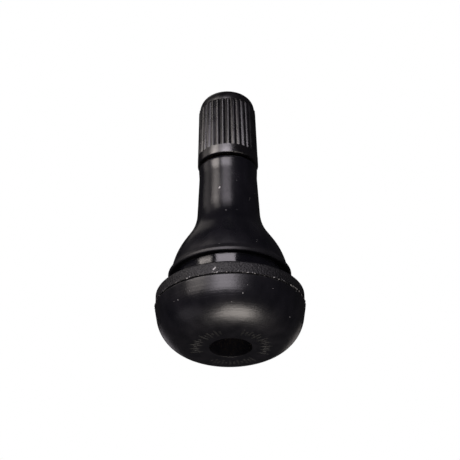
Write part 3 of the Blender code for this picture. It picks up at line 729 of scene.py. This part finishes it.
def cap_outline():
    """The cap's outline without its ribs, from the top down the outside and up the bore."""
    dome = []
    for angle in np.linspace(0, math.pi / 2, DOME_STEPS + 1):
        out = math.sin(angle) ** (2 / CAP_DOME_POWER)
        up = math.cos(angle) ** (2 / CAP_DOME_POWER)
        dome.append(Vector((CAP_DOME_RADIUS * out, CAP_DOME_BASE + CAP_DOME_HEIGHT * up)))
    dome = [point for point in dome if point.y > RIB_HIGH + RIB_CLEARANCE]
    high = Vector((cap_radius_at(RIB_HIGH) - RIB_DEPTH, RIB_HIGH))
    ends = [high - Vector((0, down)) for down in np.linspace(0, RIB_END, RIB_END_STEPS + 1)]
    low = Vector((cap_radius_at(RIB_LOW) - RIB_DEPTH, RIB_LOW + RIB_CLEARANCE))
    band = rounded(
        [
            (CAP_RADIUS - CAP_BAND_TAPER, RIB_LOW),
            (CAP_RADIUS, CAP_RIM, CAP_RIM_ROUND),
            (CAP_BORE_RADIUS + CAP_LEAD_IN, CAP_RIM),
        ]
    )
    inside = rounded(
        [
            (CAP_BORE_RADIUS, CAP_RIM + CAP_LEAD_IN),
            (CAP_BORE_RADIUS, CAP_CEILING),
            (CAP_RECESS_RADIUS, CAP_CEILING),
            (CAP_RECESS_RADIUS, CAP_TOP - CAP_ROOF, CAP_RECESS_FILLET),
            (0, CAP_TOP - CAP_ROOF),
        ]
    )
    return spread(dome, DOME_STEP) + ends + [low] + band + inside


def rib_relief(angle, radius, height):
    """Ribs with straight flanks and rounded crests, which stand on the cap's wall."""
    turn = angle * RIB_COUNT / (2 * math.pi) % 1
    share = 1 - np.abs(2 * turn - 1)
    crest = np.maximum(share - (1 - RIB_CREST), 0) ** 2 / (2 * RIB_CREST)
    root = np.maximum(RIB_ROOT - share, 0) ** 2 / (2 * RIB_ROOT)
    rise = RIB_DEPTH * (share - crest + root - RIB_ROOT / 2) / (1 - RIB_CREST / 2 - RIB_ROOT / 2)
    end = np.clip((RIB_HIGH - height) / RIB_END, 0, 1)
    above_band = height > RIB_LOW + RIB_CLEARANCE / 2
    outside = radius > CAP_BORE_RADIUS + CAP_LEAD_IN
    return np.where(above_band & outside, rise * np.sqrt(end), 0)


def make_cap(material):
    angles = even_angles(CAP_SEGMENTS)
    shell = turned_mesh("dust_cap", cap_outline(), angles, rib_relief, closed=False)
    depth = THREAD_DEPTH_SHARE * STEM_PITCH
    thread = thread_mesh(
        "cap_thread",
        CAP_BORE_RADIUS,
        CAP_BORE_RADIUS - depth,
        STEM_PITCH,
        CAP_THREAD,
        phase=meshing_phase(CAP_THREAD, STEM_THREAD, STEM_PITCH),
    )
    return piece("dust_cap", [shell, thread], material, "cap_plastic", "cap", "valve_cap")


def make_stem(material):
    depth = THREAD_DEPTH_SHARE * STEM_PITCH
    root = STEM_THREAD_RADIUS - depth
    outside = [
        (STEM_THREAD_RADIUS - TIP_CHAMFER, STEM_TIP),
        (root, STEM_TIP - TIP_CHAMFER),
        (root, THREAD_SHOULDER[1]),
        (STOP_RADIUS, THREAD_SHOULDER[0]),
        (STOP_RADIUS, RUBBER_TOP - STOP_HEIGHT),
        (TUBE_RADIUS, RUBBER_TOP - STOP_HEIGHT - (STOP_RADIUS - TUBE_RADIUS)),
        (TUBE_RADIUS, RING_HIGH + RING_RADIUS - TUBE_RADIUS),
        (RING_RADIUS, RING_HIGH),
        (RING_RADIUS, RING_LOW),
        (TUBE_RADIUS, RING_LOW - (RING_RADIUS - TUBE_RADIUS)),
        (TUBE_RADIUS, STEM_FOOT + FOOT_HEIGHT + FOOT_SLOPE),
        (FOOT_RADIUS, STEM_FOOT + FOOT_HEIGHT),
        (FOOT_RADIUS, STEM_FOOT + FOOT_CHAMFER),
        (FOOT_RADIUS - FOOT_CHAMFER, STEM_FOOT),
    ]
    inside = [
        (BORE_RADIUS + FOOT_CHAMFER, STEM_FOOT),
        (BORE_RADIUS, STEM_FOOT + FOOT_CHAMFER),
        (BORE_RADIUS, SEAT_LOW),
        (SEAT_RADIUS, SEAT_HIGH),
        (SEAT_RADIUS, CHAMBER_TOP),
        (CORE_THREAD_RADIUS, CHAMBER_TOP + CORE_THREAD_RADIUS - SEAT_RADIUS),
        (CORE_THREAD_RADIUS, STEM_TIP - MOUTH_CHAMFER),
        (CORE_THREAD_RADIUS + MOUTH_CHAMFER, STEM_TIP),
    ]
    tube = turned_mesh("threaded_stem", outside + inside, even_angles(CORE_SEGMENTS))
    outer = thread_mesh("stem_thread", root, STEM_THREAD_RADIUS, STEM_PITCH, STEM_THREAD)
    inner = thread_mesh(
        "core_seat_thread",
        CORE_THREAD_RADIUS,
        CORE_THREAD_RADIUS - THREAD_DEPTH_SHARE * CORE_PITCH,
        CORE_PITCH,
        BORE_THREAD,
    )
    return piece("threaded_stem", [tube, outer, inner], material, "brass", "valve", "brass_stem")


def make_plug(material):
    """The core's plug, which is its solid drawn in to the thread's root, with the thread on it."""
    depth = THREAD_DEPTH_SHARE * CORE_PITCH
    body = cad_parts["core_plug"].data.copy()
    for vertex in body.vertices:
        out = math.hypot(vertex.co.x, vertex.co.y)
        if out > BRIDGE_RADIUS:
            share = max(out - depth, BRIDGE_RADIUS) / out
            vertex.co = (vertex.co.x * share, vertex.co.y * share, vertex.co.z)
    thread = thread_mesh(
        "plug_thread",
        PLUG_RADIUS - depth,
        PLUG_RADIUS,
        CORE_PITCH,
        PLUG_THREAD,
        phase=meshing_phase(PLUG_THREAD, BORE_THREAD, CORE_PITCH),
    )
    return piece("threaded_plug", [body, thread], material, "brass", "valve", "core_plug")


def make_pin(material):
    outline = rounded(
        [
            (0, PIN_HIGH),
            (PIN_HEAD_RADIUS, PIN_HIGH, 2 * PIN_EDGE),
            (PIN_HEAD_RADIUS, PIN_HIGH - PIN_HEAD_HEIGHT, PIN_EDGE),
            (PIN_RADIUS, PIN_HIGH - PIN_HEAD_HEIGHT, PIN_EDGE),
            (PIN_RADIUS, PIN_COLLAR_TOP),
            (PIN_COLLAR_RADIUS, PIN_COLLAR_TOP, PIN_EDGE),
            (PIN_COLLAR_RADIUS, PIN_COLLAR_TOP - PIN_COLLAR_HEIGHT, PIN_EDGE),
            (PIN_RADIUS, PIN_COLLAR_TOP - PIN_COLLAR_HEIGHT),
            (PIN_RADIUS, PIN_LOW + PIN_FOOT_HEIGHT),
            (PIN_HEAD_RADIUS, PIN_LOW + PIN_FOOT_HEIGHT, PIN_EDGE),
            (PIN_HEAD_RADIUS, PIN_LOW, 1.5 * PIN_EDGE),
            (0, PIN_LOW),
        ]
    )
    mesh = turned_mesh("plunger_pin", outline, even_angles(CORE_SEGMENTS), closed=False)
    return piece("plunger_pin", [mesh], material, "brass", "plunger", "core_pin")


def make_spring(material):
    """The spring with its closed end turns, built at its rest length. The real spring shortens as
    the pin is pressed.
    """
    bottom, top = SPRING_LOW + WIRE_RADIUS, SPRING_HIGH - WIRE_RADIUS
    closed_rise = 2 * WIRE_RADIUS + BOND_GAP / 2
    open_rise = (top - bottom - 2 * closed_rise) / (SPRING_TURNS - 2)
    sections = []
    for turn in np.linspace(0, SPRING_TURNS, round(SPRING_TURNS * SPRING_STEPS) + 1):
        closed = min(turn, 1) + max(turn - (SPRING_TURNS - 1), 0)
        height = bottom + closed * closed_rise + min(max(turn - 1, 0), SPRING_TURNS - 2) * open_rise
        angle = 2 * math.pi * turn
        out = Vector((math.cos(angle), math.sin(angle), 0))
        middle = out * SPRING_RADIUS + Vector((0, 0, height))
        ring = []
        for side in even_angles(WIRE_SIDES):
            outward = out * math.cos(side) + Vector((0, 0, math.sin(side)))
            ring.append(middle + outward * WIRE_RADIUS)
        sections.append(ring)
    mesh = swept_mesh("spring_wire", sections)
    obj = piece("spring_wire", [mesh], material, "spring_steel", "valve", "core_spring")
    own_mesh(obj)
    return obj


def dress(node, material):
    """Gives a solid that stays its finish."""
    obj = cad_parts[node]
    obj.data.materials.clear()
    obj.data.materials.append(material)


# Camera and lamps
VIEW_TURN = math.radians(3.75)  # the cap's ribs are turned this far from the camera
CAMERA_DISTANCE = 300 * MM
CAMERA_ELEVATION = math.radians(-29.33)
CAMERA_ROLL = math.radians(-0.896)
CAMERA_TARGET = Vector((0, 0, 21.14 * MM))
FOCAL_LENGTH = 145.17  # in millimetres, as is the sensor's width
SENSOR_WIDTH = 36
FRAME_SHIFT = 0.0022
LAMP_DISTANCE = 0.5
CURTAIN_RADIUS = 1.2
CURTAIN_REACH = 89  # its highest and lowest elevation, in degrees
CURTAIN_COLUMNS, CURTAIN_ROWS = 72, 36
CURTAIN_GLOW = 0.02
FILL_STRENGTH = 0.4
FLOOR_SIZE = 3
FLOOR_FADE = (0.05, 0.3)  # the distances over which the floor fades into the world


def direction(azimuth, elevation):
    """The unit vector towards an azimuth from the camera's side and an elevation, in degrees."""
    turn = math.radians(azimuth) + VIEW_TURN
    rise = math.radians(elevation)
    return Vector(
        (math.sin(turn) * math.cos(rise), -math.cos(turn) * math.cos(rise), math.sin(rise))
    )


def make_camera():
    data = bpy.data.cameras.new("camera")
    data.lens = FOCAL_LENGTH
    data.sensor_width = SENSOR_WIDTH
    data.shift_x = FRAME_SHIFT
    data.clip_start = 0.01
    camera = bpy.data.objects.new("camera", data)
    toward = direction(0, math.degrees(CAMERA_ELEVATION))
    camera.location = CAMERA_TARGET + toward * CAMERA_DISTANCE
    look = (-toward).to_track_quat("-Z", "Y").to_matrix()
    camera.rotation_euler = (look @ Matrix.Rotation(CAMERA_ROLL, 3, "Z")).to_euler()
    bpy.context.scene.collection.objects.link(camera)
    bpy.context.scene.camera = camera


def panel(name, azimuths, elevations, radiance, colour, in_gloss=True):
    """A soft flat lamp that fills a range of azimuths and elevations, seen from the valve."""
    azimuth, elevation = sum(azimuths) / 2, sum(elevations) / 2
    half_width = math.radians(azimuths[1] - azimuths[0]) / 2 * math.cos(math.radians(elevation))
    half_height = math.radians(elevations[1] - elevations[0]) / 2
    data = bpy.data.lights.new(name, "AREA")
    data.shape = "RECTANGLE"
    data.size = 2 * LAMP_DISTANCE * math.tan(half_width)
    data.size_y = 2 * LAMP_DISTANCE * math.tan(half_height)
    data.color = colour
    data.energy = radiance * math.pi * data.size * data.size_y
    lamp = bpy.data.objects.new(name, data)
    toward = direction(azimuth, elevation)
    lamp.location = CAMERA_TARGET + toward * LAMP_DISTANCE
    lamp.rotation_euler = toward.to_track_quat("Z", "Y").to_euler()
    lamp.visible_camera = False
    lamp.visible_glossy = in_gloss
    bpy.context.scene.collection.objects.link(lamp)


def make_lamps():
    """The lamps that the photograph's reflections show, some behind and one for the floor."""
    warm, cool = (1.0, 0.92, 0.88), (0.99, 0.92, 1.0)
    panel("left_window", (-62, -36), (5, 20), 2.8, warm)
    panel("left_window_bright", (-64, -36), (20, 33.5), 9.2, warm)
    panel("left_window_top", (-58, -36), (33.5, 50), 1.5, warm)
    panel("middle_window_low", (-26, 11), (-3, 20), 5.6, cool)
    panel("middle_window", (-26, 11), (20, 33.5), 6.7, cool)
    panel("middle_window_top", (-22, 10), (33, 50), 1.1, cool)
    panel("side_window", (-106, -80), (24, 34), 1.1, warm)
    panel("side_window_top", (-100, -76), (34, 50), 0.4, warm)
    panel("low_lamp", (-35, 86), (-90, -57), 9.0, (1.0, 0.92, 0.86))
    panel("low_left_lamp", (-100, -68), (-54, -24), 0.5, cool)
    panel("back_lamp", (-165, -130), (46, 70), 0.25, warm)
    panel("back_left_window", (150, 166), (-3, 13), 0.55, warm)
    panel("back_right_window", (194, 210), (-3, 13), 0.55, cool)
    panel("overhead", (-60, 60), (60, 90), 1.2, (1, 1, 1), in_gloss=False)


def make_world():
    """A white background for the camera, gloss and glass, and a softer fill for the rest."""
    world = bpy.data.worlds.new("studio")
    bpy.context.scene.world = world
    world.use_nodes = True
    tree = world.node_tree
    path = tree.nodes.new("ShaderNodeLightPath")
    seen = path.outputs["Is Camera Ray"]
    for kind in ("Is Glossy Ray", "Is Transmission Ray"):
        either = tree.nodes.new("ShaderNodeMath")
        either.operation = "MAXIMUM"
        tree.links.new(seen, either.inputs[0])
        tree.links.new(path.outputs[kind], either.inputs[1])
        seen = either.outputs["Value"]
    strength = tree.nodes.new("ShaderNodeMapRange")
    strength.inputs["To Min"].default_value = FILL_STRENGTH
    strength.inputs["To Max"].default_value = 1.0
    tree.links.new(seen, strength.inputs["Value"])
    background = tree.nodes["Background"]
    background.inputs["Color"].default_value = (1, 1, 1, 1)
    tree.links.new(strength.outputs["Result"], background.inputs["Strength"])


def make_curtain():
    """A dark tent round the set. It keeps white off the black gloss, as in the photograph."""
    rise = np.radians(np.linspace(CURTAIN_REACH, -CURTAIN_REACH, CURTAIN_ROWS + 1))
    arc = CURTAIN_RADIUS * np.stack([np.cos(rise), np.sin(rise)], axis=-1)
    angles = even_angles(CURTAIN_COLUMNS) + VIEW_TURN
    mesh = turned_mesh("curtain", arc, angles, closed=False)
    material = bpy.data.materials.new("Curtain")
    material.use_nodes = True
    shader = material.node_tree.nodes["Principled BSDF"]
    shader.inputs["Base Color"].default_value = (0, 0, 0, 1)
    shader.inputs["Roughness"].default_value = 1.0
    shader.inputs["Specular IOR Level"].default_value = 0.0
    shader.inputs["Emission Color"].default_value = (1.0, 0.97, 1.0, 1)
    shader.inputs["Emission Strength"].default_value = CURTAIN_GLOW
    mesh.materials.append(material)
    curtain = bpy.data.objects.new("curtain", mesh)
    curtain.location = CAMERA_TARGET
    bpy.context.scene.collection.objects.link(curtain)
    curtain.visible_camera = False
    curtain.visible_diffuse = False
    curtain.visible_shadow = False


def make_floor():
    """A pale floor that fades into the white world round the valve.

    It shows from above only, because the photograph looks up from below.
    """
    builder = bmesh.new()
    bmesh.ops.create_grid(builder, x_segments=1, y_segments=1, size=FLOOR_SIZE)
    mesh = bpy.data.meshes.new("floor")
    builder.to_mesh(mesh)
    builder.free()
    material = bpy.data.materials.new("Pale floor")
    material.use_nodes = True
    tree = material.node_tree
    paint = tree.nodes["Principled BSDF"]
    paint.inputs["Base Color"].default_value = (0.86, 0.86, 0.86, 1)
    paint.inputs["Roughness"].default_value = 0.9
    clear = tree.nodes.new("ShaderNodeBsdfTransparent")
    side = tree.nodes.new("ShaderNodeNewGeometry")
    place = tree.nodes.new("ShaderNodeTexCoord")
    reach = tree.nodes.new("ShaderNodeVectorMath")
    reach.operation = "LENGTH"
    tree.links.new(place.outputs["Object"], reach.inputs[0])
    fade = tree.nodes.new("ShaderNodeMapRange")
    fade.interpolation_type = "SMOOTHSTEP"
    fade.inputs["From Min"].default_value, fade.inputs["From Max"].default_value = FLOOR_FADE
    tree.links.new(reach.outputs["Value"], fade.inputs["Value"])
    hidden = tree.nodes.new("ShaderNodeMath")
    hidden.operation = "MAXIMUM"
    tree.links.new(side.outputs["Backfacing"], hidden.inputs[0])
    tree.links.new(fade.outputs["Result"], hidden.inputs[1])
    mix = tree.nodes.new("ShaderNodeMixShader")
    tree.links.new(hidden.outputs["Value"], mix.inputs["Fac"])
    tree.links.new(paint.outputs["BSDF"], mix.inputs[1])
    tree.links.new(clear.outputs["BSDF"], mix.inputs[2])
    tree.links.new(mix.outputs["Shader"], tree.nodes["Material Output"].inputs["Surface"])
    mesh.materials.append(material)
    floor = bpy.data.objects.new("floor", mesh)
    bpy.context.scene.collection.objects.link(floor)
    floor.visible_diffuse = False
    floor.visible_glossy = False
    floor.visible_transmission = False
    floor.visible_shadow = False


def main():
    bpy.context.scene.view_settings.view_transform = "Standard"
    make_camera()
    make_lamps()
    make_world()
    make_curtain()
    make_floor()

    rubber = body_rubber()
    brass = turned_brass("Turned brass")
    core_brass = turned_brass("Core brass", (0.83, 0.66, 0.41))
    seal = seal_rubber()
    make_rubber(rubber)
    make_parting_flash(rubber)
    make_base_marks(worn_rubber_painted_sheen())
    make_cap(cap_plastic())
    make_stem(brass)
    make_plug(core_brass)
    make_pin(core_brass)
    make_spring(spring_steel())
    for node in ("core_barrel", "plunger_cup"):
        dress(node, core_brass)
    for node in ("cup_seal", "cap_washer"):
        dress(node, seal)
    dress("barrel_seal", white_seal())


main()
